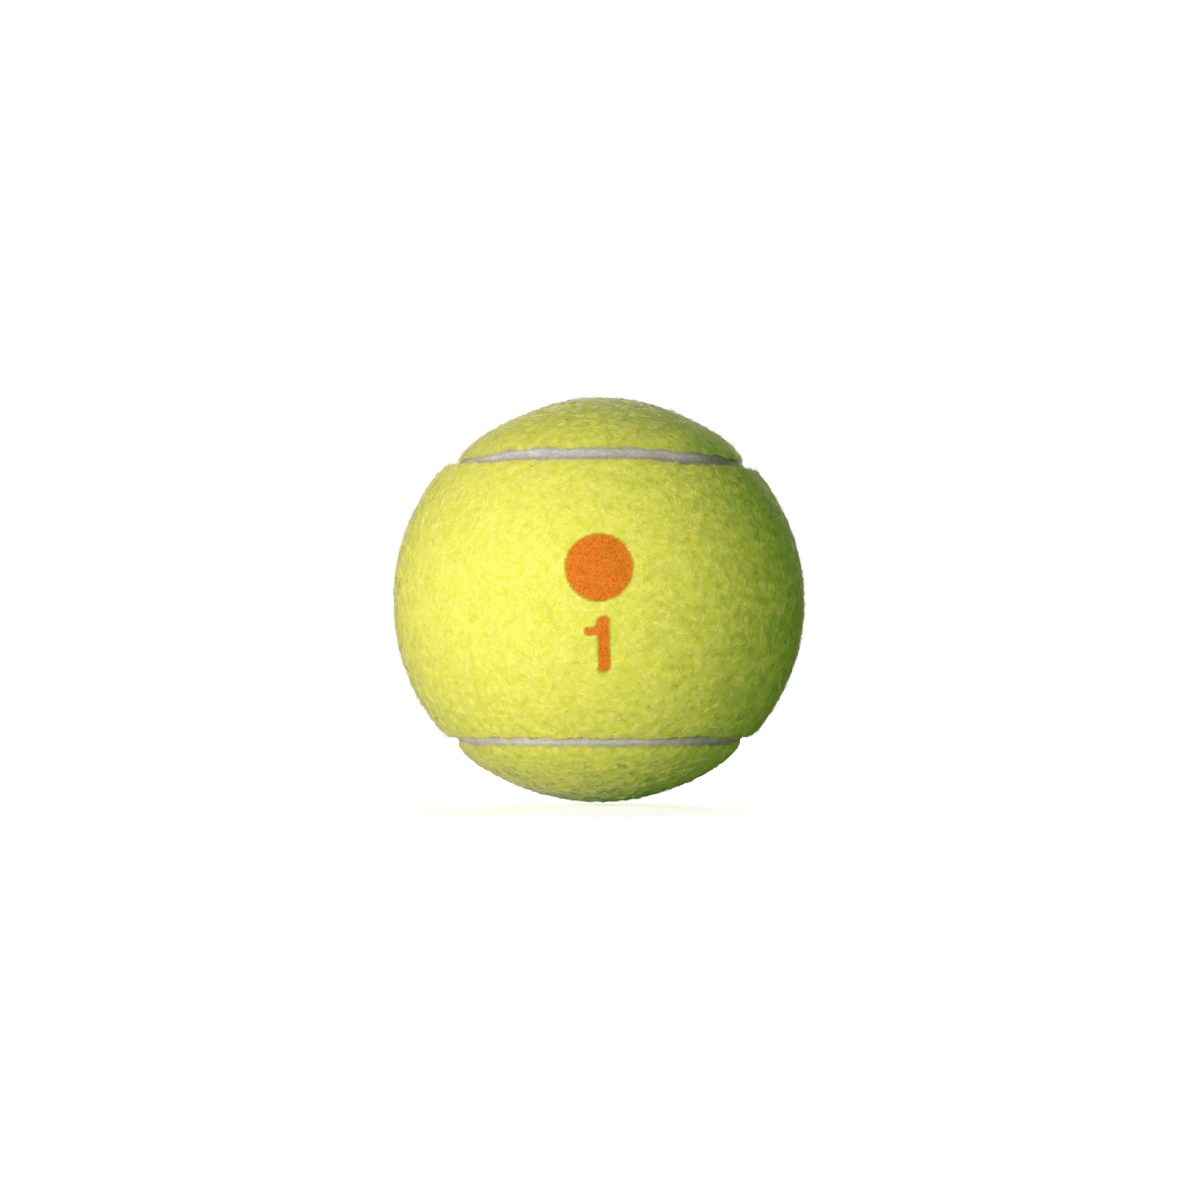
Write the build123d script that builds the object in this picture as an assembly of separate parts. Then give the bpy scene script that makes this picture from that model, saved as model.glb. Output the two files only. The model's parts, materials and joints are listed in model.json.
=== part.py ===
from build123d import *
from math import degrees
import os

# Tennis ball: a cemented two-part rubber core under two interlocking felt panels and their seam.
#
# Frame: the origin is the centre of the ball and +Z is up. The waist of the front panel faces -Y
# and its lobes wrap round +X and -X. The back panel is the same blank given half a turn about the
# line x = z, so its waist faces +Y and its lobes cover the top and the bottom.
#
# The seam line is four half circles, each 45 degrees from its own pole: two about Z on the front
# of the ball and two about X on the back. They run into one another in the plane y = 0, so the
# cover's sections are all drawn in that plane and turned half a turn from it.

# Driving dimensions, in millimetres
CORE_DIAMETER = 60.0
CORE_WALL = 3.3
RIM_BEVEL = 0.5
JOIN_CEMENT_THICKNESS = 0.2
JOIN_BEAD = 0.2
CORE_COAT_THICKNESS = 0.15
PANEL_CEMENT_THICKNESS = 0.15
FELT_THICKNESS = 3.2
FELT_EDGE_RADIUS = 1.0
SEAM_WIDTH = 3.0
SEAM_RECESS = 1.1
SEAM_DISH = 0.2

# Radii of the layers, from the inside out
core_outer = CORE_DIAMETER / 2
core_inner = core_outer - CORE_WALL
coat_outer = core_outer + CORE_COAT_THICKNESS
cement_outer = coat_outer + PANEL_CEMENT_THICKNESS
felt_outer = cement_outer + FELT_THICKNESS
seam_shoulder = felt_outer - SEAM_RECESS
seam_middle = seam_shoulder - SEAM_DISH

# Half the gap between the core's rims, and the bead of cement squeezed out along the inside of it
rim_height = JOIN_CEMENT_THICKNESS / 2
bead_radius = rim_height + RIM_BEVEL + JOIN_BEAD

# Angles in the section plane, from +X; the seam's width is measured along the face of the felt
seam_half_angle = degrees(SEAM_WIDTH / 2 / felt_outer)
seam_start = 45 - seam_half_angle
seam_end = 45 + seam_half_angle

# Half a turn about these axes carries +X over the front to -X, and +Z over the back to -Z
front_turn = Axis((0, 0, 0), (0, 0, -1))
back_turn = Axis((0, 0, 0), (-1, 0, 0))
panel_swap = Axis((0, 0, 0), (1, 0, 1))


def polar(radius, angle):
    """The point of the section plane at this distance from the centre and angle from +X."""
    return Vector(radius, 0).rotate(Axis.Z, angle)


def upper_shell():
    """The upper rubber half shell, its rim bevelled on the inside to key the cement."""
    hollow = Sphere(core_outer) - Sphere(core_inner)
    half = split(hollow, Plane.XY.offset(rim_height), keep=Keep.TOP)
    inner_rim = half.edges().group_by(Axis.Z)[0].sort_by(SortBy.RADIUS)[0]
    return chamfer(inner_rim, RIM_BEVEL)


def join_ring(upper, lower):
    """The ring of cement between the two rims, flush outside and squeezed out in a bead inside."""
    disc = Cylinder(core_outer, JOIN_CEMENT_THICKNESS)
    film = disc - Cylinder(core_inner, JOIN_CEMENT_THICKNESS)
    bead = Torus(core_inner, bead_radius)
    return (film + bead - upper - lower) & Sphere(core_outer)


def front_panel(inner, outer):
    """The front blank between two radii: a shell without the room of the seam and back panel."""
    far = 2 * outer
    edge = polar(far, seam_start)
    other_edge = polar(far, 180 - seam_start)
    front_wedge = Plane.XZ * make_face(Polyline((0, 0), edge, (0, far), close=True))
    back_wedge = Plane.XZ * make_face(Polyline((0, 0), edge, (0, far), other_edge, close=True))
    above_waist = revolve(front_wedge, front_turn, 180)
    below_waist = mirror(above_waist, Plane.XY)
    between_lobes = revolve(back_wedge, back_turn, 180)
    return Sphere(outer) - Sphere(inner) - above_waist - below_waist - between_lobes


def front_felt():
    """The front felt panel, its cut edge rounded over along the whole seam."""
    panel = front_panel(cement_outer, felt_outer)
    outer_edges = panel.edges().sort_by_distance((0, 0, 0))[-4:]
    return fillet(outer_edges, FELT_EDGE_RADIUS)


def seam_ring():
    """The closed ring of seam rubber between the two panels, dished along its outer face."""
    floor = CenterArc((0, 0), coat_outer, seam_start, seam_end - seam_start)
    wall = Line(polar(coat_outer, seam_end), polar(seam_shoulder, seam_end))
    dish = ThreePointArc(
        polar(seam_shoulder, seam_end),
        polar(seam_middle, 45),
        polar(seam_shoulder, seam_start),
    )
    other_wall = Line(polar(seam_shoulder, seam_start), polar(coat_outer, seam_start))
    strip = Plane.XZ * make_face([floor, wall, dish, other_wall])
    front_top = revolve(strip, front_turn, 180)
    front_bottom = mirror(front_top, Plane.XY)
    back_right = revolve(strip, back_turn, 180)
    back_left = mirror(back_right, Plane.YZ)
    return front_top + back_right + front_bottom + back_left


core_half_upper = upper_shell()
core_half_lower = mirror(core_half_upper, Plane.XY)
core_join_cement = join_ring(core_half_upper, core_half_lower)
core_cement_coat = Sphere(coat_outer) - Sphere(core_outer)
panel_cement_front = front_panel(coat_outer, cement_outer)
panel_cement_back = panel_cement_front.rotate(panel_swap, 180)
felt_panel_front = front_felt()
felt_panel_back = felt_panel_front.rotate(panel_swap, 180)
seam_rubber = seam_ring()

os.makedirs("parts", exist_ok=True)
export_step(core_half_upper, "parts/core_half_upper.step")
export_step(core_half_lower, "parts/core_half_lower.step")
export_step(core_join_cement, "parts/core_join_cement.step")
export_step(core_cement_coat, "parts/core_cement_coat.step")
export_step(panel_cement_front, "parts/panel_cement_front.step")
export_step(panel_cement_back, "parts/panel_cement_back.step")
export_step(felt_panel_front, "parts/felt_panel_front.step")
export_step(felt_panel_back, "parts/felt_panel_back.step")
export_step(seam_rubber, "parts/seam_rubber.step")
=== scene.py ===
"""Dresses the tennis ball: napped felt, seam rubber, printed ink, core rubber and a plain studio."""

import json
import math

import bmesh
import bpy
import numpy as np
from mathutils import Matrix, Vector, noise

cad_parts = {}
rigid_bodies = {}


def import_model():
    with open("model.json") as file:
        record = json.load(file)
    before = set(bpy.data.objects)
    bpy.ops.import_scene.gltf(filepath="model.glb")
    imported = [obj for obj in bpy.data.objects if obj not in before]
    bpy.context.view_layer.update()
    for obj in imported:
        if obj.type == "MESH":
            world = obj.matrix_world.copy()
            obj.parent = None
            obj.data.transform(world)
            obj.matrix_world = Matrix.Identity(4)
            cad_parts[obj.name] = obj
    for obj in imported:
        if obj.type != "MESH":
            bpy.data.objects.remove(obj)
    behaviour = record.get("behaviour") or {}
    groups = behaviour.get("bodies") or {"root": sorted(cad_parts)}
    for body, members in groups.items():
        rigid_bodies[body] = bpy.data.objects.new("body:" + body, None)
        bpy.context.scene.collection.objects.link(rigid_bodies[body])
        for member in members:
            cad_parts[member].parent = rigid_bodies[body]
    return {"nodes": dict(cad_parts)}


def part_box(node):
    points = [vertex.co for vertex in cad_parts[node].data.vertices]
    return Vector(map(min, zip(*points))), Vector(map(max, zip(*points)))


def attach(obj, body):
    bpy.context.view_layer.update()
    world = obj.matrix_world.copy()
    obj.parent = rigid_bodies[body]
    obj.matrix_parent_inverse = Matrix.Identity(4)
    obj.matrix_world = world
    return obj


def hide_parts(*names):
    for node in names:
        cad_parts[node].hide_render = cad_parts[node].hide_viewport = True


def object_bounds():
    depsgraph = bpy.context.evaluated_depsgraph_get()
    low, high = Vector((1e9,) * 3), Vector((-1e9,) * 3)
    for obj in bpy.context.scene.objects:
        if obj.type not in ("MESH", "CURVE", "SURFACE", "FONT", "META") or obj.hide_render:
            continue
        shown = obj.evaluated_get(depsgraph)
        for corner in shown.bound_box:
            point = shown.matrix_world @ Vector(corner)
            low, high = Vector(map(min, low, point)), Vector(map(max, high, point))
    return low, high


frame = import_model()
cad_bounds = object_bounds()

bl_info = {
    "name": "Tennis ball",
    "version": (1, 0, 0),
    "blender": (4, 5, 0),
    "location": "View3D > Sidebar > Ball",
    "description": "Builds the felt, nap, seam, print and stage of a tennis ball round its CAD solids",
    "category": "Object",
}

MM = 0.001
BALL_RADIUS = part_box("felt_panel_front")[1].x
FELT_INNER_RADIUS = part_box("panel_cement_front")[1].x
QUARTER = math.pi / 4
# Seeds the random draws, so that every run lays the same felt.
SEED = 1
# How far the nap's normals lean from one tuft to the next, as a share of their length.
TUFT_LEAN = 0.32
# No ink lies further than this from the middle of the front.
PRINT_REACH = 16 * MM
# The back panel is the front one given half a turn about the line x = z.
PANEL_SWAP = Matrix(((0, 0, 1), (0, -1, 0), (1, 0, 0)))
# Where each panel lies low: the middle of the dent, its depth, and the cosine of its reach.
DENTS = {
    "front": [(Vector((0.89, 0, 0.45)), 0.15 * MM, 0.86)],
    "back": [
        (Vector((-0.57, 0, 0.82)), 0.6 * MM, 0.86),
        (Vector((0.62, 0, 0.785)), 0.15 * MM, 0.88),
    ],
}
PANEL_TURN = {"front": Matrix.Identity(3), "back": PANEL_SWAP}


def linear(code):
    """The linear red, green and blue of an sRGB hex colour."""
    parts = [int(code[i : i + 2], 16) / 255 for i in (1, 3, 5)]
    return [c / 12.92 if c <= 0.04045 else ((c + 0.055) / 1.055) ** 2.4 for c in parts]


class BallSizes(bpy.types.PropertyGroup):
    """Lengths of the cover's looks, in metres."""

    cloth_mesh: bpy.props.FloatProperty(
        name="Cloth mesh",
        description="Size of the faces that the felt is modelled with",
        default=0.45 * MM,
        unit="LENGTH",
    )
    cloth_sink: bpy.props.FloatProperty(
        name="Cloth sink",
        description="How far the matted felt lies below the outer face of the CAD",
        default=0.04 * MM,
        unit="LENGTH",
    )
    clump_width: bpy.props.FloatProperty(
        name="Clump width",
        description="Width of the matted clumps of the felt",
        default=2.2 * MM,
        unit="LENGTH",
    )
    tuft_width: bpy.props.FloatProperty(
        name="Tuft width",
        description="Width of the tufts in which the nap leans one way",
        default=1.1 * MM,
        unit="LENGTH",
    )
    clump_height: bpy.props.FloatProperty(
        name="Clump height",
        description="How far the clumps rise and fall",
        default=0.09 * MM,
        unit="LENGTH",
    )
    ragged_edge: bpy.props.FloatProperty(
        name="Ragged edge",
        description="How far the cut edges of the felt wander along the seam",
        default=0.6 * MM,
        unit="LENGTH",
    )
    lobe_flattening: bpy.props.FloatProperty(
        name="Lobe flattening",
        description="How much flatter the back panel's lobes are at their middles",
        default=0.5 * MM,
        unit="LENGTH",
    )
    lip_drop: bpy.props.FloatProperty(
        name="Lip drop",
        description="How far the felt bends down to the seam at its cut edge",
        default=0.35 * MM,
        unit="LENGTH",
    )
    panel_shift: bpy.props.FloatProperty(
        name="Panel shift",
        description="How far below its true place the front panel lies, which opens the seam above it",
        default=0.5 * MM,
        unit="LENGTH",
    )
    blank_width: bpy.props.FloatProperty(
        name="Blank width",
        description="Width of a felt panel as it is cut, over its lobes, on the face that is glued",
        default=44.9 * MM,
        unit="LENGTH",
    )
    blank_length: bpy.props.FloatProperty(
        name="Blank length",
        description="Length of a felt panel as it is cut, on the face that is glued",
        default=140 * MM,
        unit="LENGTH",
    )
    blank_area: bpy.props.FloatProperty(
        name="Blank area",
        description="Area of a felt panel as it is cut: half the core's face, less half the seam",
        default=5400 * MM**2,
        unit="AREA",
    )
    fibre_length: bpy.props.FloatProperty(
        name="Fibre length",
        description="Length of a fibre of the nap",
        default=1.35 * MM,
        unit="LENGTH",
    )
    fibre_width: bpy.props.FloatProperty(
        name="Fibre width",
        description="Thickness of a drawn fibre, which stands for a few real ones",
        default=0.07 * MM,
        unit="LENGTH",
    )
    fibre_spacing: bpy.props.FloatProperty(
        name="Fibre spacing",
        description="Distance between the roots of the fibres of one shade",
        default=0.68 * MM,
        unit="LENGTH",
    )
    dot_diameter: bpy.props.FloatProperty(
        name="Dot diameter",
        description="Diameter of the printed dot",
        default=10.5 * MM,
        unit="LENGTH",
    )
    number_height: bpy.props.FloatProperty(
        name="Number height",
        description="Height of the ball's printed number",
        default=8.5 * MM,
        unit="LENGTH",
    )


class BallColours(bpy.types.PropertyGroup):
    """Colours of the ball's materials."""

    felt: bpy.props.FloatVectorProperty(
        name="Felt",
        description="Dyed wool of the felt's body",
        default=linear("#D6D648"),
        subtype="COLOR",
        min=0,
        max=1,
    )
    felt_shade: bpy.props.FloatVectorProperty(
        name="Felt shade",
        description="The felt between its clumps",
        default=linear("#CACE38"),
        subtype="COLOR",
        min=0,
        max=1,
    )
    nap: bpy.props.FloatVectorProperty(
        name="Nap",
        description="Dyed wool fibres of the nap",
        default=linear("#E6E27C"),
        subtype="COLOR",
        min=0,
        max=1,
    )
    nap_pale: bpy.props.FloatVectorProperty(
        name="Pale nap",
        description="Nylon fibres, which take the dye thinly",
        default=linear("#F1EEAC"),
        subtype="COLOR",
        min=0,
        max=1,
    )
    # Painted light: a constant green glow on the felt and the nap, which greens their shade. It stands
    # for the dye's fluorescence.
    painted_green_glow: bpy.props.FloatVectorProperty(
        name="Dye glow",
        description="Light that the fluorescent dye gives back",
        default=linear("#28FF00"),
        subtype="COLOR",
        min=0,
        max=1,
    )
    ink: bpy.props.FloatVectorProperty(
        name="Ink",
        description="Ink of the dot and the number",
        default=linear("#DE6A24"),
        subtype="COLOR",
        min=0,
        max=1,
    )
    ink_deep: bpy.props.FloatVectorProperty(
        name="Deep ink",
        description="Ink that has run together between the fibres",
        default=linear("#C44208"),
        subtype="COLOR",
        min=0,
        max=1,
    )
    # The print's rim: partly ink that bled into the felt, partly painted shade where the print sinks
    # into it.
    ink_bleed_and_shade: bpy.props.FloatVectorProperty(
        name="Ink bleed",
        description="Felt at the rim of the print that took a little ink",
        default=linear("#B39A30"),
        subtype="COLOR",
        min=0,
        max=1,
    )
    seam: bpy.props.FloatVectorProperty(
        name="Seam",
        description="Seam rubber",
        default=linear("#E5EBE2"),
        subtype="COLOR",
        min=0,
        max=1,
    )
    core: bpy.props.FloatVectorProperty(
        name="Core",
        description="Rubber of the core",
        default=linear("#3B3A38"),
        subtype="COLOR",
        min=0,
        max=1,
    )
    cement: bpy.props.FloatVectorProperty(
        name="Cement",
        description="Rubber cement",
        default=linear("#B99D66"),
        subtype="COLOR",
        min=0,
        max=1,
    )


class StageSettings(bpy.types.PropertyGroup):
    """The camera, the lamps and the light of the room."""

    camera_distance: bpy.props.FloatProperty(
        name="Camera distance",
        description="From the camera to the middle of the ball",
        default=700 * MM,
        unit="LENGTH",
    )
    camera_elevation: bpy.props.FloatProperty(
        name="Camera elevation",
        description="Angle of the camera above the ball's middle",
        default=math.radians(-1.24),
        subtype="ANGLE",
    )
    camera_beside: bpy.props.FloatProperty(
        name="Camera beside",
        description="How far the camera stands to the right of the ball's middle",
        default=0.16 * MM,
        unit="LENGTH",
    )
    lens: bpy.props.FloatProperty(
        name="Lens",
        description="Focal length on a 36 mm sensor, in millimetres",
        default=128.2,
        unit="CAMERA",
    )
    key_power: bpy.props.FloatProperty(
        name="Key power",
        description="Power of the soft key lamp",
        default=3.1,
        unit="POWER",
    )
    fill_power: bpy.props.FloatProperty(
        name="Fill power",
        description="Power of the weak yellow-green lamp on the other side",
        default=0.6,
        unit="POWER",
    )
    back_power: bpy.props.FloatProperty(
        name="Back power",
        description="Power of the lamp behind the ball",
        default=11.5,
        unit="POWER",
    )
    room_strength: bpy.props.FloatProperty(
        name="Room strength",
        description="Strength of the light from all round",
        default=0.01,
        subtype="FACTOR",
    )


def add_node(tree, kind, inputs=(), **settings):
    """Adds a node to a tree, with its settings, and gives its inputs a value or a link."""
    node = tree.nodes.new(kind)
    for name, value in settings.items():
        setattr(node, name, value)
    for socket, value in dict(inputs).items():
        if isinstance(value, bpy.types.NodeSocket):
            tree.links.new(value, node.inputs[socket])
        else:
            node.inputs[socket].default_value = value
    return node


def empty_material(name):
    """A material, its node tree and the Object coordinates, the one thing in that tree."""
    material = bpy.data.materials.new(name)
    material.use_nodes = True
    tree = material.node_tree
    tree.nodes.clear()
    place = add_node(tree, "ShaderNodeTexCoord").outputs["Object"]
    return material, tree, place


def opaque(colour):
    """A colour with full alpha, as a shader's socket takes it."""
    return (*colour, 1.0)


def link_object(name, mesh, material):
    """A new object in the scene for a mesh, which wears one material."""
    mesh.materials.clear()
    mesh.materials.append(material)
    piece = bpy.data.objects.new(name, mesh)
    bpy.context.scene.collection.objects.link(piece)
    return piece


def applied(piece):
    """Makes the shape that a piece's modifiers give its own mesh."""
    bpy.context.view_layer.update()
    depsgraph = bpy.context.evaluated_depsgraph_get()
    mesh = bpy.data.meshes.new_from_object(piece.evaluated_get(depsgraph))
    old = piece.data
    piece.modifiers.clear()
    piece.data = mesh
    bpy.data.meshes.remove(old)
    return mesh


def even_copy(name, node, face_size, material):
    """A copy of a CAD node in even faces of one size, fit for modelling fine relief."""
    bm = bmesh.new()
    bm.from_mesh(frame["nodes"][node].data)
    bmesh.ops.remove_doubles(bm, verts=bm.verts, dist=0.001 * MM)
    mesh = bpy.data.meshes.new(name)
    bm.to_mesh(mesh)
    bm.free()
    piece = link_object(name, mesh, material)
    remesh = piece.modifiers.new("Even faces", "REMESH")
    remesh.mode = "VOXEL"
    remesh.voxel_size = face_size
    remesh.use_smooth_shade = True
    applied(piece)
    return piece


def smoothstep(low, high, value):
    """Goes smoothly from 0 at low to 1 at high."""
    t = min(max((value - low) / (high - low), 0.0), 1.0)
    return t * t * (3 - 2 * t)


def height_in_cover(point):
    """How high a point lies in the cover: 0 at the felt's glued face, 1 at the outside of the ball."""
    return (point.length - FELT_INNER_RADIUS) / (BALL_RADIUS - FELT_INNER_RADIUS)


def seam_offset(direction):
    """Signed distance over the ball from the seam's middle line, negative on the front panel."""
    if direction.y < 0:
        return BALL_RADIUS * (math.asin(min(abs(direction.z), 1.0)) - QUARTER)
    return BALL_RADIUS * (QUARTER - math.asin(min(abs(direction.x), 1.0)))


def across_seam(direction):
    """Unit tangent of the ball that points straight across the seam, to the back panel."""
    if direction.y < 0:
        pole = Vector((0, 0, math.copysign(1, direction.z)))
    else:
        pole = Vector((-math.copysign(1, direction.x), 0, 0))
    return (pole - direction * direction.dot(pole)).normalized()


def seam_course(direction):
    """How far the laid seam strays to the back panel's side here, and how far its lips close in."""
    front = smoothstep(0.6, 0.0, direction.y)
    beside = direction.x * BALL_RADIUS
    end = smoothstep(17.5 * MM, 23 * MM, abs(beside))
    # Both are in millimetres up to the last line.
    if direction.z > 0:
        left = smoothstep(-11 * MM, -19 * MM, beside)
        right = smoothstep(7 * MM, 16 * MM, beside)
        stray = -0.3 - 0.5 * left - 0.9 * right + (0.1 * left - 0.3 * right) * end
        closing = 0.35 + 0.3 * left + 0.42 * end
    else:
        stray = -0.28 - 0.3 * end
        closing = 0.48 + 0.3 * end
    wander = 0.12 * MM * noise.noise(direction * (BALL_RADIUS / (14 * MM)))
    return wander + front * stray * MM, (0.1 + front * (closing - 0.1)) * MM


def bar_distance(point, start, end, width, corner):
    """Signed distance of a point of the print from a straight bar with rounded corners."""
    along = (end - start).normalized()
    offset = point - (start + end) / 2
    beyond = abs(offset.dot(along)) - (end - start).length / 2 + corner
    beside = abs(offset.cross(along)) - width / 2 + corner
    return math.hypot(max(beyond, 0.0), max(beside, 0.0)) + min(max(beyond, beside), 0.0) - corner


def ink_cover(point, sizes):
    """How much ink lies on the felt at a point, from 0 to 1: a dot with the number 1 below it."""
    place = Vector((point.x, point.z))
    middle = Vector((0, 4.4 * MM))
    dot = (place - middle).length - sizes.dot_diameter / 2
    top = Vector((0.65 * MM, -3.35 * MM))
    foot = top + Vector((0.15 * MM, -sizes.number_height))
    stem = bar_distance(place, top, foot, width=1.75 * MM, corner=0.4 * MM)
    flag_root = top - Vector((0, 2.3 * MM))
    flag_end = flag_root - Vector((2.9 * MM, 0))
    flag = bar_distance(place, flag_end, flag_root, width=1.05 * MM, corner=0.3 * MM)
    slope_foot = flag_root - Vector((1.2 * MM, 0))
    slope_top = top - Vector((0, 0.3 * MM))
    slope = bar_distance(place, slope_foot, slope_top, width=1.0 * MM, corner=0.3 * MM)
    frayed = 0.16 * MM * noise.noise(point / (0.5 * MM))
    return smoothstep(0.3 * MM, -0.3 * MM, min(dot, stem, flag, slope) + frayed)


def vertex_places(mesh):
    """The places of a mesh's vertices, one row each."""
    places = np.empty(len(mesh.vertices) * 3, np.float32)
    mesh.vertices.foreach_get("co", places)
    return places.reshape(-1, 3)


def mark_ink(mesh, sizes):
    """Marks each vertex with the ink on it: the pad prints whatever cloth or fibre it meets."""
    places = vertex_places(mesh)
    cover = np.zeros(len(places), np.float32)
    near = (places[:, 1] < 0) & (np.hypot(places[:, 0], places[:, 2]) < PRINT_REACH)
    for i in np.flatnonzero(near):
        cover[i] = ink_cover(Vector(places[i]), sizes)
    ink = mesh.attributes.get("ink") or mesh.attributes.new("ink", "FLOAT", "POINT")
    ink.data.foreach_set("value", cover)
    return cover


def printed(tree, place, cloth, colours):
    """Lays the printed ink over a cloth's colour: speckled where it soaked in, and at its rim a little
    bled ink with painted shade.
    """
    ink = add_node(tree, "ShaderNodeAttribute", attribute_name="ink")
    speckle = add_node(
        tree,
        "ShaderNodeTexNoise",
        {"Vector": place, "Scale": 1 / (0.35 * MM), "Detail": 2.0, "Distortion": 1.0},
    )
    soaked = add_node(
        tree,
        "ShaderNodeMapRange",
        {"Value": speckle.outputs[0], "From Min": 0.38, "From Max": 0.56},
    )
    paint = add_node(
        tree,
        "ShaderNodeMix",
        {0: soaked.outputs[0], 6: opaque(colours.ink_deep), 7: opaque(colours.ink)},
        data_type="RGBA",
    )
    # At the rim the felt darkens: a little bled ink, and painted shade where the print sinks.
    rim = add_node(
        tree,
        "ShaderNodeMapRange",
        {"Value": ink.outputs["Fac"], "From Min": 0.02, "From Max": 0.4},
    )
    inside = add_node(
        tree,
        "ShaderNodeMapRange",
        {"Value": ink.outputs["Fac"], "From Min": 0.4, "From Max": 0.75},
    )
    bled_and_shaded = add_node(
        tree,
        "ShaderNodeMix",
        {0: rim.outputs[0], 6: cloth, 7: opaque(colours.ink_bleed_and_shade)},
        data_type="RGBA",
    )
    inked = add_node(
        tree,
        "ShaderNodeMix",
        {0: inside.outputs[0], 6: bled_and_shaded.outputs[2], 7: paint.outputs[2]},
        data_type="RGBA",
    )
    return inked.outputs[2]


def felt_material(colours):
    """Wool and nylon felt, dyed optic yellow, needled and brushed: mottled, matt, soft at its edges."""
    material, tree, place = empty_material("needled_felt_optic_yellow")
    outward = add_node(tree, "ShaderNodeVectorMath", {0: place}, operation="NORMALIZE").outputs[0]
    strands = None
    for layer in range(3):
        # Each layer is a mat of tufts: cells, in each of which the strands lie in one random direction.
        moved = add_node(
            tree,
            "ShaderNodeVectorMath",
            {0: place, 1: (layer, 0.0, 0.0)},
            operation="ADD",
        )
        tuft = add_node(
            tree,
            "ShaderNodeTexVoronoi",
            {"Vector": moved.outputs[0], "Scale": 1 / (1.4 * MM)},
        )
        inside = add_node(
            tree,
            "ShaderNodeVectorMath",
            {0: moved.outputs[0], 1: tuft.outputs["Position"]},
            operation="SUBTRACT",
        )
        aim_by = add_node(
            tree,
            "ShaderNodeVectorMath",
            {0: tuft.outputs["Color"], 1: (0.5, 0.5, 0.5)},
            operation="SUBTRACT",
        )
        side = add_node(
            tree,
            "ShaderNodeVectorMath",
            {0: outward, 1: aim_by.outputs[0]},
            operation="CROSS_PRODUCT",
        )
        side = add_node(tree, "ShaderNodeVectorMath", {0: side.outputs[0]}, operation="NORMALIZE")
        across = add_node(
            tree,
            "ShaderNodeVectorMath",
            {0: inside.outputs[0], 1: side.outputs[0]},
            operation="DOT_PRODUCT",
        )
        line = add_node(
            tree,
            "ShaderNodeMath",
            {0: across.outputs["Value"], 1: 1 / (0.16 * MM)},
            operation="MULTIPLY",
        )
        bent = add_node(
            tree,
            "ShaderNodeVectorMath",
            {0: place, "Scale": 1 / (0.9 * MM)},
            operation="SCALE",
        )
        grain = add_node(
            tree,
            "ShaderNodeTexNoise",
            {"Vector": bent.outputs[0], "W": line.outputs[0], "Scale": 1.0, "Detail": 1.0},
            noise_dimensions="4D",
        )
        fibre = add_node(
            tree,
            "ShaderNodeMapRange",
            {"Value": grain.outputs[0], "From Min": 0.4, "From Max": 0.66},
        )
        fade = add_node(
            tree,
            "ShaderNodeMapRange",
            {"Value": tuft.outputs["Distance"], "From Min": 0.8, "From Max": 0.3},
        )
        shown = add_node(
            tree,
            "ShaderNodeMath",
            {0: fibre.outputs[0], 1: fade.outputs[0]},
            operation="MULTIPLY",
        )
        if strands is None:
            strands = shown.outputs[0]
        else:
            both = add_node(
                tree,
                "ShaderNodeMath",
                {0: strands, 1: shown.outputs[0]},
                operation="MAXIMUM",
            )
            strands = both.outputs[0]
    clumps = add_node(
        tree,
        "ShaderNodeTexNoise",
        {"Vector": place, "Scale": 1 / (2.6 * MM), "Detail": 2.0, "Distortion": 0.8},
    )
    depth = add_node(
        tree,
        "ShaderNodeMapRange",
        {"Value": clumps.outputs[0], "From Min": 0.35, "From Max": 0.62},
    )
    body = add_node(
        tree,
        "ShaderNodeMix",
        {0: depth.outputs[0], 6: opaque(colours.felt_shade), 7: opaque(colours.felt)},
        data_type="RGBA",
    )
    dyed = add_node(
        tree,
        "ShaderNodeMix",
        {0: strands, 6: body.outputs[2], 7: opaque(colours.nap)},
        data_type="RGBA",
    )
    bump = add_node(
        tree,
        "ShaderNodeBump",
        {"Height": strands, "Strength": 0.3, "Distance": 0.06 * MM},
    )
    shader = add_node(
        tree,
        "ShaderNodeBsdfPrincipled",
        {
            "Base Color": printed(tree, place, dyed.outputs[2], colours),
            "Roughness": 0.9,
            "Specular IOR Level": 0.25,
            # Light strays among the fibres, green furthest, which blurs the felt's shade.
            "Subsurface Weight": 1.0,
            "Subsurface Radius": (0.7, 1.0, 0.4),
            "Subsurface Scale": 3.0 * MM,
            "Sheen Weight": 0.2,
            "Sheen Roughness": 0.4,
            # Optic yellow fluoresces; this constant green glow is painted light that stands for that,
            # and greens the felt's shade.
            "Emission Color": opaque(colours.painted_green_glow),
            "Emission Strength": 0.085,
            "Normal": bump.outputs[0],
        },
        subsurface_method="BURLEY",
    )
    add_node(tree, "ShaderNodeOutputMaterial", {"Surface": shader.outputs[0]})
    return material


def nap_material(name, colour, deep, colours):
    """Loose wool and nylon fibres of one shade: soft, matt strands with a thin sheen."""
    material, tree, place = empty_material(name)
    patches = add_node(
        tree,
        "ShaderNodeTexNoise",
        {"Vector": place, "Scale": 1 / (1.6 * MM), "Detail": 2.0, "Distortion": 0.8},
    )
    share = add_node(
        tree,
        "ShaderNodeMapRange",
        {"Value": patches.outputs[0], "From Min": 0.3, "From Max": 0.7},
    )
    dyed = add_node(
        tree,
        "ShaderNodeMix",
        {0: share.outputs[0], 6: opaque(deep), 7: opaque(colour)},
        data_type="RGBA",
    )
    shader = add_node(
        tree,
        "ShaderNodeBsdfPrincipled",
        {
            "Base Color": printed(tree, place, dyed.outputs[2], colours),
            "Roughness": 0.9,
            "Specular IOR Level": 0.25,
            "Sheen Weight": 0.2,
            "Sheen Roughness": 0.4,
            # A weaker painted green glow, which greens the nap's shade.
            "Emission Color": opaque(colours.painted_green_glow),
            "Emission Strength": 0.035,
        },
    )
    add_node(tree, "ShaderNodeOutputMaterial", {"Surface": shader.outputs[0]})
    return material


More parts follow.
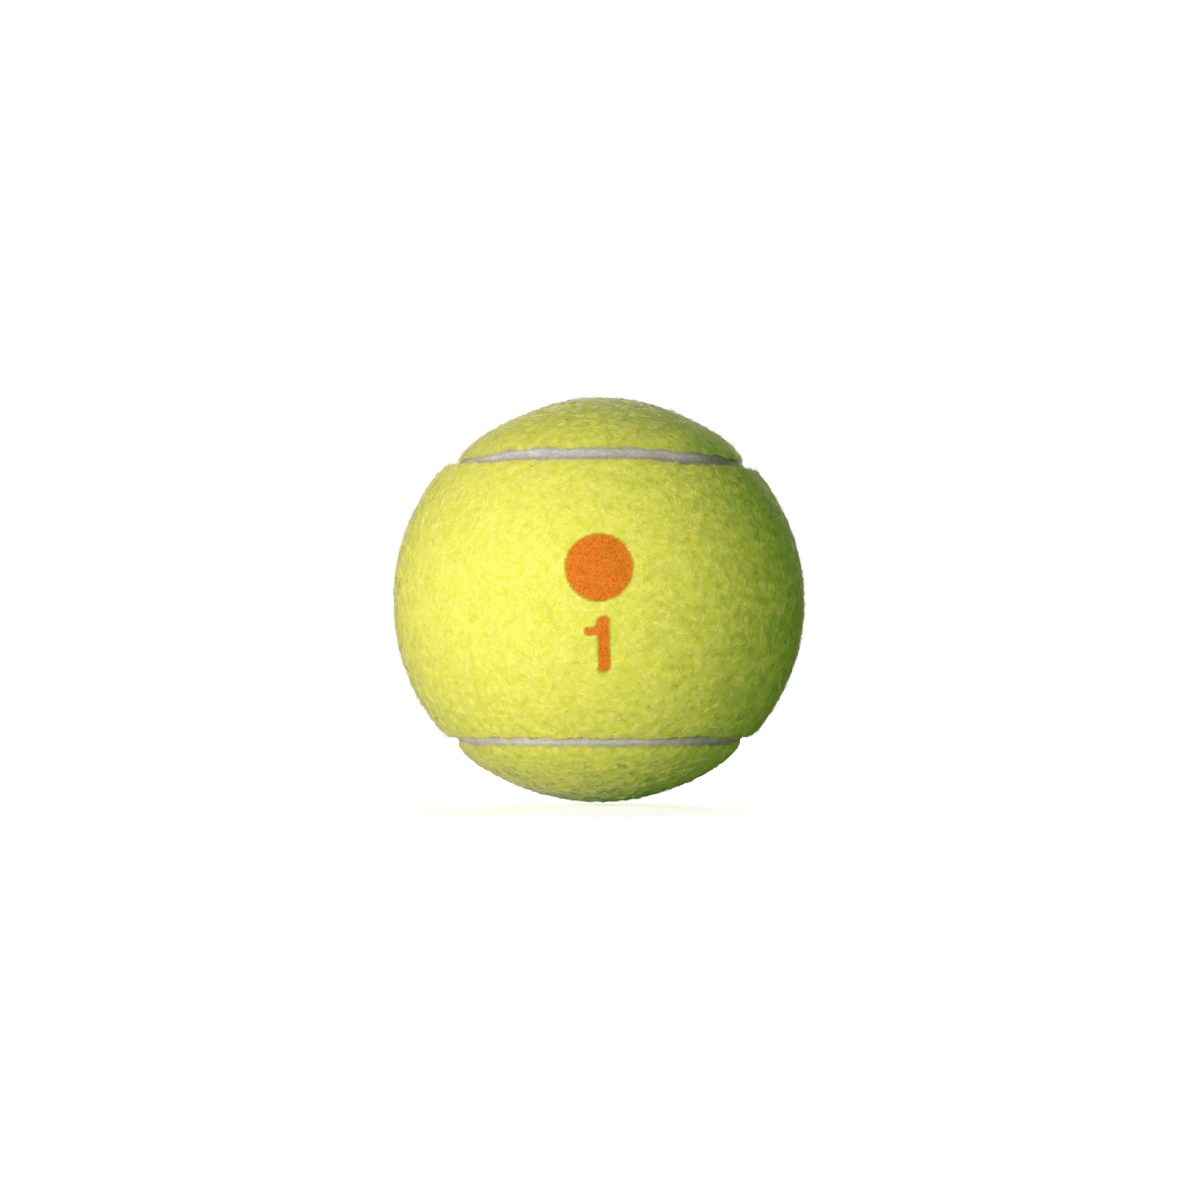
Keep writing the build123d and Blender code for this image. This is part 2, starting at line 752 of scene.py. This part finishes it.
def rubber_material(name, colour, grain, roughness, mottle):
    """Cured rubber: a matt, pitted skin with dark specks of filler, and painted shade along the felt's
    lips.
    """
    material, tree, place = empty_material(name)
    patches = add_node(
        tree,
        "ShaderNodeTexNoise",
        {"Vector": place, "Scale": 1 / (3.0 * MM), "Detail": 4.0},
    )
    pits = add_node(
        tree,
        "ShaderNodeTexNoise",
        {"Vector": place, "Scale": 1 / grain, "Detail": 3.0},
    )
    light = add_node(
        tree,
        "ShaderNodeMapRange",
        {"Value": patches.outputs[0], "From Min": 0.3, "From Max": 0.7, "To Min": 1 - mottle},
    )
    grained = add_node(
        tree,
        "ShaderNodeMapRange",
        {"Value": pits.outputs[0], "From Min": 0.36, "From Max": 0.54, "To Min": 1 - mottle},
    )
    filler = add_node(tree, "ShaderNodeTexVoronoi", {"Vector": place, "Scale": 1 / (2.0 * MM)})
    speck = add_node(
        tree,
        "ShaderNodeMapRange",
        {"Value": filler.outputs["Distance"], "From Min": 0.08, "From Max": 0.16, "To Min": 0.3},
    )
    # Painted shade: the rubber darkens where the felt's lips overhang it.
    lip = add_node(tree, "ShaderNodeAttribute", attribute_name="lip")
    lip_shade = add_node(
        tree,
        "ShaderNodeMath",
        {0: lip.outputs["Fac"], 1: -0.6, 2: 1.0},
        operation="MULTIPLY_ADD",
    )
    level = light.outputs[0]
    for part in (grained, speck, lip_shade):
        darker = add_node(
            tree,
            "ShaderNodeMath",
            {0: level, 1: part.outputs[0]},
            operation="MULTIPLY",
        )
        level = darker.outputs[0]
    shade = add_node(
        tree,
        "ShaderNodeMix",
        {0: level, 6: opaque([c * 0.4 for c in colour]), 7: opaque(colour)},
        data_type="RGBA",
    )
    bump = add_node(
        tree,
        "ShaderNodeBump",
        {"Height": pits.outputs[0], "Strength": 0.5, "Distance": 0.1 * MM},
    )
    shader = add_node(
        tree,
        "ShaderNodeBsdfPrincipled",
        {
            "Base Color": shade.outputs[2],
            "Roughness": roughness,
            "IOR": 1.52,
            "Normal": bump.outputs[0],
        },
    )
    add_node(tree, "ShaderNodeOutputMaterial", {"Surface": shader.outputs[0]})
    return material


def tuft_leans(places, width):
    """A random vector for each place, which turns smoothly from one tuft of this width to the next."""
    return np.array([noise.noise_vector(place) for place in (places / width).tolist()])


def turn_normals(mesh, share, lean, tuft_width):
    """Turns a mesh's normals outwards, as a nap stands, and lets them lean singly and in tufts."""
    places = vertex_places(mesh)
    outward = places / np.linalg.norm(places, axis=1)[:, None]
    standing = outward + lean + TUFT_LEAN * tuft_leans(places, tuft_width)
    normals = np.empty(len(places) * 3, np.float32)
    mesh.vertex_normals.foreach_get("vector", normals)
    share = np.asarray(share).reshape(-1, 1)
    turned = normals.reshape(-1, 3) * (1 - share) + standing * share
    mesh.normals_split_custom_set_from_vertices(turned)


def dented(direction, side):
    """How far a panel's dents sink the cover here."""
    return sum(
        depth * smoothstep(reach, 1.0, direction.dot(place))
        for place, depth, reach in DENTS[side]
    )


def relief(point, sizes, side):
    """How far the felt's outer face rises from the CAD face at a point of a panel."""
    direction = point.normalized()
    broad = 0.1 * MM * noise.noise(direction * (BALL_RADIUS / (13 * MM)))
    clumps = sizes.clump_height * noise.noise(point / sizes.clump_width)
    tufts = 0.5 * sizes.clump_height * noise.noise(point / (0.4 * sizes.clump_width))
    height = broad + clumps + tufts - sizes.cloth_sink
    lip = 1 - smoothstep(1.4 * MM, 4.0 * MM, abs(seam_offset(direction)))
    height -= sizes.lip_drop * lip
    if side == "back":
        height -= sizes.lobe_flattening * smoothstep(0.72, 1.0, abs(direction.z))
    return height - dented(direction, side)


def shape_felt(piece, side, sizes):
    """Roughens the outer face of a felt panel, frays its cut edge and marks where the ink lies."""
    mesh = piece.data
    to_back = 1 if side == "front" else -1
    cover = mark_ink(mesh, sizes)
    lip = mesh.attributes.new("lip", "FLOAT", "POINT")
    upright = np.zeros(len(cover))
    for vertex, inked in zip(mesh.vertices, cover):
        point = vertex.co.copy()
        direction = point.normalized()
        outer = smoothstep(0.25, 0.85, height_in_cover(point))
        edge = 1 - smoothstep(1.5 * MM, 4.5 * MM, abs(seam_offset(direction)))
        wander = 0.6 * noise.noise(direction * (BALL_RADIUS / (4.0 * MM)))
        wander += 0.5 * noise.noise(direction * (BALL_RADIUS / (1.6 * MM)))
        wander += 0.5 * noise.noise(direction * (BALL_RADIUS / (0.8 * MM)))
        stray, closing = seam_course(direction)
        across = stray + to_back * (closing + sizes.ragged_edge * wander)
        shift = across_seam(direction) * (across * edge * outer)
        if side == "front":
            down = Vector((0, 0, -1)) + direction * direction.z
            shift += down * (sizes.panel_shift * edge * outer)
        rise = relief(point, sizes, side) * outer - 0.1 * MM * float(inked)
        vertex.co = point + shift + direction * rise
        lip.data[vertex.index].value = edge
        upright[vertex.index] = 0.8 * outer
    mesh.update()
    lean = 0.15 * tuft_leans(vertex_places(mesh), 0.5 * MM)
    turn_normals(mesh, upright, lean, sizes.tuft_width)


class BALL_OT_felt(bpy.types.Operator):
    """Makes the two felt panels, matted and frayed along the seam"""

    bl_idname = "ball.felt"
    bl_label = "Felt panels"

    def execute(self, context):
        sizes = context.scene.ball_sizes
        material = felt_material(context.scene.ball_colours)
        noise.seed_set(SEED)
        for side in PANEL_TURN:
            node = f"felt_panel_{side}"
            piece = even_copy(f"felt_{side}", node, sizes.cloth_mesh, material)
            shape_felt(piece, side, sizes)
            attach(piece, "root")
            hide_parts(node)
        return {"FINISHED"}


def corners_of(geometry):
    """The vertices among some elements of a mesh, and the middle of them."""
    corners = [part for part in geometry if isinstance(part, bmesh.types.BMVert)]
    return corners, sum((v.co for v in corners), Vector()) / len(corners)


def fibre_mesh(name, length, width, bend, curl):
    """One fibre: a three-sided strand that arches over the felt, curls sideways and ends in a point."""
    bm = bmesh.new()
    made = bmesh.ops.create_circle(bm, cap_ends=True, segments=3, radius=width / 2)
    end = made["verts"] + bm.edges[:]
    upended = Matrix.Rotation(math.pi / 2, 3, "Y")
    heading = Matrix.Rotation(-bend, 3, "Y")
    for rotation in (upended, heading):
        bmesh.ops.rotate(bm, verts=bm.verts, cent=(0, 0, 0), matrix=rotation)
    for side in (1, -1):
        # Each half turns down towards the felt and to its own side, about an axis across its heading.
        turn = Vector((0, bend, side * curl))
        axis = heading @ turn.normalized()
        ahead = heading @ Vector((1, 0, 0))
        _, middle = corners_of(end)
        centre = middle + axis.cross(ahead) * (length / 2 / turn.length)
        spun = bmesh.ops.spin(bm, geom=end, cent=centre, axis=axis, angle=turn.length, steps=1)
        end = spun["geom_last"]
        heading = Matrix.Rotation(turn.length, 3, axis) @ heading
    tip, middle = corners_of(end)
    bmesh.ops.pointmerge(bm, verts=tip, merge_co=middle)
    bmesh.ops.recalc_face_normals(bm, faces=bm.faces)
    for face in bm.faces:
        face.smooth = True
    mesh = bpy.data.meshes.new(name)
    bm.to_mesh(mesh)
    bm.free()
    return mesh


def nap_scatter(name, fibres, spacing, lift, seed):
    """A node tree that lays fibres over a cloth in every direction and combs them into clumps."""
    tree = bpy.data.node_groups.new(name, "GeometryNodeTree")
    tree.interface.new_socket("Cloth", in_out="INPUT", socket_type="NodeSocketGeometry")
    tree.interface.new_socket("Nap", in_out="OUTPUT", socket_type="NodeSocketGeometry")
    cloth = add_node(tree, "NodeGroupInput").outputs[0]
    ink = add_node(tree, "GeometryNodeInputNamedAttribute", {"Name": "ink"}, data_type="FLOAT")
    lip = add_node(tree, "GeometryNodeInputNamedAttribute", {"Name": "lip"}, data_type="FLOAT")
    density = add_node(
        tree,
        "ShaderNodeMath",
        {0: lip.outputs[0], 1: 1.5 / spacing**2, 2: 1 / spacing**2},
        operation="MULTIPLY_ADD",
    )
    roots = add_node(
        tree,
        "GeometryNodeDistributePointsOnFaces",
        {"Mesh": cloth, "Density": density.outputs[0], "Seed": seed},
    )
    turn = add_node(
        tree,
        "FunctionNodeRandomValue",
        {0: (-0.4, -lift, 0.0), 1: (0.4, lift, 2 * math.pi), "Seed": seed + 1},
        data_type="FLOAT_VECTOR",
    )
    raised = add_node(
        tree,
        "ShaderNodeMath",
        {0: lip.outputs[0], 1: 6.0, 2: 1.0},
        operation="MULTIPLY_ADD",
    )
    stretch = add_node(tree, "ShaderNodeCombineXYZ", {"X": 1.0, "Y": raised.outputs[0], "Z": 1.0})
    standing = add_node(
        tree,
        "ShaderNodeVectorMath",
        {0: turn.outputs[0], 1: stretch.outputs[0]},
        operation="MULTIPLY",
    )
    rotation = add_node(
        tree,
        "FunctionNodeRotateRotation",
        {"Rotation": roots.outputs["Rotation"], "Rotate By": standing.outputs[0]},
        rotation_space="LOCAL",
    )
    size = add_node(
        tree,
        "FunctionNodeRandomValue",
        {2: 0.65, 3: 1.2, "Seed": seed + 2},
        data_type="FLOAT",
    )
    matted = add_node(
        tree,
        "ShaderNodeMath",
        {0: ink.outputs[0], 1: lip.outputs[0]},
        operation="MAXIMUM",
    )
    shorter = add_node(
        tree,
        "ShaderNodeMath",
        {0: matted.outputs[0], 1: -0.5, 2: 1.0},
        operation="MULTIPLY_ADD",
    )
    scale = add_node(
        tree,
        "ShaderNodeMath",
        {0: size.outputs[1], 1: shorter.outputs[0]},
        operation="MULTIPLY",
    )
    kinds = add_node(
        tree,
        "GeometryNodeCollectionInfo",
        {"Collection": fibres, "Separate Children": True, "Reset Children": True},
    )
    laid = add_node(
        tree,
        "GeometryNodeInstanceOnPoints",
        {
            "Points": roots.outputs["Points"],
            "Instance": kinds.outputs[0],
            "Pick Instance": True,
            "Rotation": rotation.outputs[0],
            "Scale": scale.outputs[0],
        },
    )
    strands = add_node(tree, "GeometryNodeRealizeInstances", {"Geometry": laid.outputs[0]})
    wave = add_node(
        tree,
        "ShaderNodeTexNoise",
        {"Scale": 1 / (1.3 * MM), "Detail": 1.0},
    )
    centred = add_node(
        tree,
        "ShaderNodeVectorMath",
        {0: wave.outputs["Color"], 1: (0.5, 0.5, 0.5)},
        operation="SUBTRACT",
    )
    bend = add_node(
        tree,
        "ShaderNodeVectorMath",
        {0: centred.outputs[0], "Scale": 0.5 * MM},
        operation="SCALE",
    )
    combed = add_node(
        tree,
        "GeometryNodeSetPosition",
        {"Geometry": strands.outputs[0], "Offset": bend.outputs[0]},
    )
    add_node(tree, "NodeGroupOutput", {0: combed.outputs[0]})
    return tree


def outer_cloth(piece):
    """A copy of a felt panel's mesh with its outer face alone, for the nap to stand on."""
    bm = bmesh.new()
    bm.from_mesh(piece.data)
    hidden = [face for face in bm.faces if height_in_cover(face.calc_center_median()) < 0.55]
    bmesh.ops.delete(bm, geom=hidden, context="FACES")
    mesh = bpy.data.meshes.new(piece.name + "_outer")
    bm.to_mesh(mesh)
    bm.free()
    return mesh


def lay_bake_map(mesh, turn):
    """A map by longitude and latitude of the panel, so neighbouring fibres share a place on it."""
    corners = np.empty(len(mesh.loops), np.int32)
    mesh.loops.foreach_get("vertex_index", corners)
    places = vertex_places(mesh) @ np.array(turn, np.float32).T
    places /= np.linalg.norm(places, axis=1)[:, None]
    longitude = np.arctan2(places[:, 0], -places[:, 1]) / (2 * math.pi) + 0.5
    latitude = np.arcsin(places[:, 2]) / math.pi + 0.5
    layer = mesh.uv_layers.new(name="OFBake")
    layer.uv.foreach_set("vector", np.stack([longitude, latitude], 1)[corners].ravel())


class BALL_OT_nap(bpy.types.Operator):
    """Raises the nap: loose fibres of three shades over both panels"""

    bl_idname = "ball.nap"
    bl_label = "Nap"

    def execute(self, context):
        sizes = context.scene.ball_sizes
        colours = context.scene.ball_colours
        # Two colours that change in patches, how far the fibres rise, and how far their normals lean.
        shades = {
            "wool": (colours.felt, colours.felt_shade, 0.05, 0.3),
            "brushed": (colours.nap, colours.felt, 0.07, 0.4),
            "nylon": (colours.nap_pale, colours.nap, 0.09, 0.6),
        }
        # Short, middling and long fibres: the share of the length, the bend and the curl.
        kinds = [(0.7, 0.12, 0.7), (1.0, 0.16, 1.1), (1.3, 0.2, 1.5)]
        fibres = bpy.data.collections.new("fibres")
        for i, (share, bend, curl) in enumerate(kinds):
            length = sizes.fibre_length * share
            mesh = fibre_mesh(f"fibre_{i}", length, sizes.fibre_width, bend, curl)
            fibres.objects.link(bpy.data.objects.new(mesh.name, mesh))
        materials = {
            shade: nap_material(f"nap_fibre_{shade}", colour, deep, colours)
            for shade, (colour, deep, *_) in shades.items()
        }
        # Every kind of fibre has the same number of vertices.
        corners = len(mesh.vertices)
        random = np.random.default_rng(SEED)
        noise.seed_set(SEED)
        for side, turn in PANEL_TURN.items():
            for number, (shade, (*_, lift, lean)) in enumerate(shades.items()):
                cloth = outer_cloth(bpy.data.objects[f"felt_{side}"])
                piece = link_object(f"nap_{side}_{shade}", cloth, materials[shade])
                spacing = sizes.fibre_spacing
                tree = nap_scatter(f"lay_{shade}_{side}", fibres, spacing, lift, seed=10 * number)
                piece.modifiers.new("Nap", "NODES").node_group = tree
                mesh = applied(piece)
                mesh.materials.clear()
                mesh.materials.append(materials[shade])
                mark_ink(mesh, sizes)
                lay_bake_map(mesh, turn)
                leans = random.uniform(-lean, lean, size=(len(mesh.vertices) // corners, 3))
                turn_normals(mesh, 1.0, np.repeat(leans, corners, axis=0), sizes.tuft_width)
                # Real fibres are fine enough to let the light through.
                piece.visible_shadow = False
                bpy.data.node_groups.remove(tree)
                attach(piece, "root")
        for fibre in fibres.objects[:]:
            bpy.data.meshes.remove(fibre.data)
        bpy.data.collections.remove(fibres)
        return {"FINISHED"}


class BALL_OT_seam(bpy.types.Operator):
    """Makes the seam rubber, a little wavy and pitted as it cures in the groove"""

    bl_idname = "ball.seam"
    bl_label = "Seam rubber"

    def execute(self, context):
        colours = context.scene.ball_colours
        # The pits of the real rubber are finer than these, too fine to show.
        material = rubber_material(
            "cured_seam_rubber",
            colours.seam,
            grain=0.5 * MM,
            roughness=0.85,
            mottle=0.42,
        )
        piece = even_copy("seam", "seam_rubber", 0.3 * MM, material)
        lip = piece.data.attributes.new("lip", "FLOAT", "POINT")
        for vertex in piece.data.vertices:
            direction = vertex.co.normalized()
            stray, closing = seam_course(direction)
            top = smoothstep(0.5, 0.9, height_in_cover(vertex.co) + 0.2)
            wave = 0.14 * MM * noise.noise(vertex.co / (4.5 * MM))
            grain = 0.05 * MM * noise.noise(vertex.co / (0.9 * MM))
            offset = seam_offset(direction)
            # The rubber's sides reach under the felt, so that no gap opens where its lips stray.
            under = math.copysign(0.7 * MM * smoothstep(0.8 * MM, 1.5 * MM, abs(offset)), offset)
            sunk = dented(direction, "front") + dented(direction, "back")
            rise = top * (wave + grain + 0.3 * MM - sunk)
            vertex.co += direction * rise + across_seam(direction) * (under + stray)
            # Marks where the felt's lips overhang the rubber, which its material darkens as painted
            # shade.
            lip.data[vertex.index].value = smoothstep(0.8 * MM, 1.5 * MM, abs(offset) + closing)
        piece.data.update()
        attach(piece, "root")
        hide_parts("seam_rubber")
        return {"FINISHED"}


class BALL_OT_core(bpy.types.Operator):
    """Gives the core's half shells and cement their rubber"""

    bl_idname = "ball.core"
    bl_label = "Core and cement"

    def execute(self, context):
        colours = context.scene.ball_colours
        shell = rubber_material(
            "moulded_core_rubber",
            colours.core,
            grain=0.5 * MM,
            roughness=0.7,
            mottle=0.5,
        )
        cement = rubber_material(
            "dried_rubber_cement",
            colours.cement,
            grain=0.8 * MM,
            roughness=0.45,
            mottle=0.4,
        )
        for name, node in frame["nodes"].items():
            if name.startswith("core_half"):
                node.data.materials[0] = shell
            elif "cement" in name:
                node.data.materials[0] = cement
        return {"FINISHED"}


def aim(thing, place, target):
    """Puts a camera or a lamp at a place and points it at a target."""
    thing.location = place
    thing.rotation_euler = (target - place).to_track_quat("-Z", "Y").to_euler()
    bpy.context.scene.collection.objects.link(thing)


def paper_material():
    """Matt white paper: white to the eye, a little darker near the ball, with the ball's shadow left on
    it.
    """
    material, tree, place = empty_material("matt_white_paper")
    seen = add_node(tree, "ShaderNodeLightPath").outputs["Is Camera Ray"]
    away = add_node(tree, "ShaderNodeVectorMath", {0: place}, operation="LENGTH")
    # The glow is weaker near the ball: painted shade round the ball, in which its own shadow shows.
    whiteness = add_node(
        tree,
        "ShaderNodeMapRange",
        {
            "Value": away.outputs["Value"],
            "From Min": 30 * MM,
            "From Max": 160 * MM,
            "To Min": 0.66,
            "To Max": 1.0,
        },
    )
    level = add_node(
        tree,
        "ShaderNodeMath",
        {0: seen, 1: whiteness.outputs[0]},
        operation="MULTIPLY",
    )
    glow = add_node(tree, "ShaderNodeEmission", {"Strength": level.outputs[0]})
    shade = add_node(
        tree,
        "ShaderNodeMix",
        {0: seen, 6: (0.3, 0.3, 0.3, 1), 7: (0.8, 0.8, 0.8, 1)},
        data_type="RGBA",
    )
    paper = add_node(tree, "ShaderNodeBsdfDiffuse", {"Color": shade.outputs[2]})
    both = add_node(tree, "ShaderNodeAddShader", {0: glow.outputs[0], 1: paper.outputs[0]})
    add_node(tree, "ShaderNodeOutputMaterial", {"Surface": both.outputs[0]})
    return material


class BALL_OT_stage(bpy.types.Operator):
    """Sets the white floor, the soft light and the camera"""

    bl_idname = "ball.stage"
    bl_label = "Stage"

    def execute(self, context):
        scene = context.scene
        settings = scene.ball_stage
        bm = bmesh.new()
        bmesh.ops.create_grid(bm, x_segments=1, y_segments=1, size=3.0)
        bmesh.ops.translate(bm, verts=bm.verts, vec=(0, 0, cad_bounds[0].z))
        mesh = bpy.data.meshes.new("floor")
        bm.to_mesh(mesh)
        bm.free()
        link_object("floor", mesh, paper_material())

        world = bpy.data.worlds.new("white_room")
        scene.world = world
        world.use_nodes = True
        tree = world.node_tree
        tree.nodes.clear()
        rays = add_node(tree, "ShaderNodeLightPath")
        level = add_node(
            tree,
            "ShaderNodeMapRange",
            {"Value": rays.outputs["Is Camera Ray"], "To Min": settings.room_strength, "To Max": 1.0},
        )
        sky = add_node(
            tree,
            "ShaderNodeBackground",
            {"Color": (1, 1, 1, 1), "Strength": level.outputs[0]},
        )
        add_node(tree, "ShaderNodeOutputWorld", {"Surface": sky.outputs[0]})

        middle = Vector((0, 0, 0))
        # Each lamp's power, its width and height, its colour and its place.
        lamps = {
            "key": (settings.key_power, (0.4, 0.12), (1.0, 0.87, 0.86), (-0.262, -0.426, 0.03)),
            "fill": (settings.fill_power, (0.6, 0.2), (0.85, 1.0, 0.15), (0.66, -0.72, 0.08)),
            "back": (settings.back_power, (0.5, 0.4), (1.0, 0.95, 0.9), (0.08, 0.95, 0.3)),
        }
        for name, (power, size, colour, place) in lamps.items():
            lamp = bpy.data.lights.new(name, "AREA")
            lamp.energy = power
            lamp.shape = "RECTANGLE"
            lamp.size, lamp.size_y = size
            lamp.color = colour
            aim(bpy.data.objects.new(name, lamp), Vector(place), middle)

        camera = bpy.data.cameras.new("camera")
        camera.lens = settings.lens
        camera.sensor_width = 36.0
        camera.clip_start = 0.01
        eye = bpy.data.objects.new("camera", camera)
        elevation = settings.camera_elevation
        place = Vector((0, -math.cos(elevation), math.sin(elevation))) * settings.camera_distance
        beside = Vector((settings.camera_beside, 0, 0))
        aim(eye, place + beside, middle + beside)
        scene.camera = eye
        scene.view_settings.view_transform = "Standard"
        return {"FINISHED"}


class BALL_PT_panel(bpy.types.Panel):
    """Shows the ball's settings, and its pieces in the order that they are made"""

    bl_idname = "BALL_PT_panel"
    bl_label = "Tennis ball"
    bl_space_type = "VIEW_3D"
    bl_region_type = "UI"
    bl_category = "Ball"

    def draw(self, context):
        for group in (getattr(context.scene, key) for key in GROUPS):
            box = self.layout.box()
            for name in group.bl_rna.properties.keys():
                if name not in {"rna_type", "name"}:
                    box.prop(group, name)
        for operator in OPERATORS:
            self.layout.operator(operator.bl_idname)


GROUPS = {"ball_sizes": BallSizes, "ball_colours": BallColours, "ball_stage": StageSettings}
OPERATORS = (BALL_OT_felt, BALL_OT_nap, BALL_OT_seam, BALL_OT_core, BALL_OT_stage)


def register():
    """Adds the property groups, the operators and the panel."""
    for name, group in GROUPS.items():
        bpy.utils.register_class(group)
        setattr(bpy.types.Scene, name, bpy.props.PointerProperty(type=group))
    for cls in (*OPERATORS, BALL_PT_panel):
        bpy.utils.register_class(cls)


def unregister():
    """Takes them away again."""
    for cls in reversed((*OPERATORS, BALL_PT_panel)):
        bpy.utils.unregister_class(cls)
    for name, group in GROUPS.items():
        delattr(bpy.types.Scene, name)
        bpy.utils.unregister_class(group)


def main():
    """Builds the whole scene."""
    register()
    bpy.ops.ball.felt()
    bpy.ops.ball.nap()
    bpy.ops.ball.seam()
    bpy.ops.ball.core()
    bpy.ops.ball.stage()


if __name__ == "__main__":
    main()
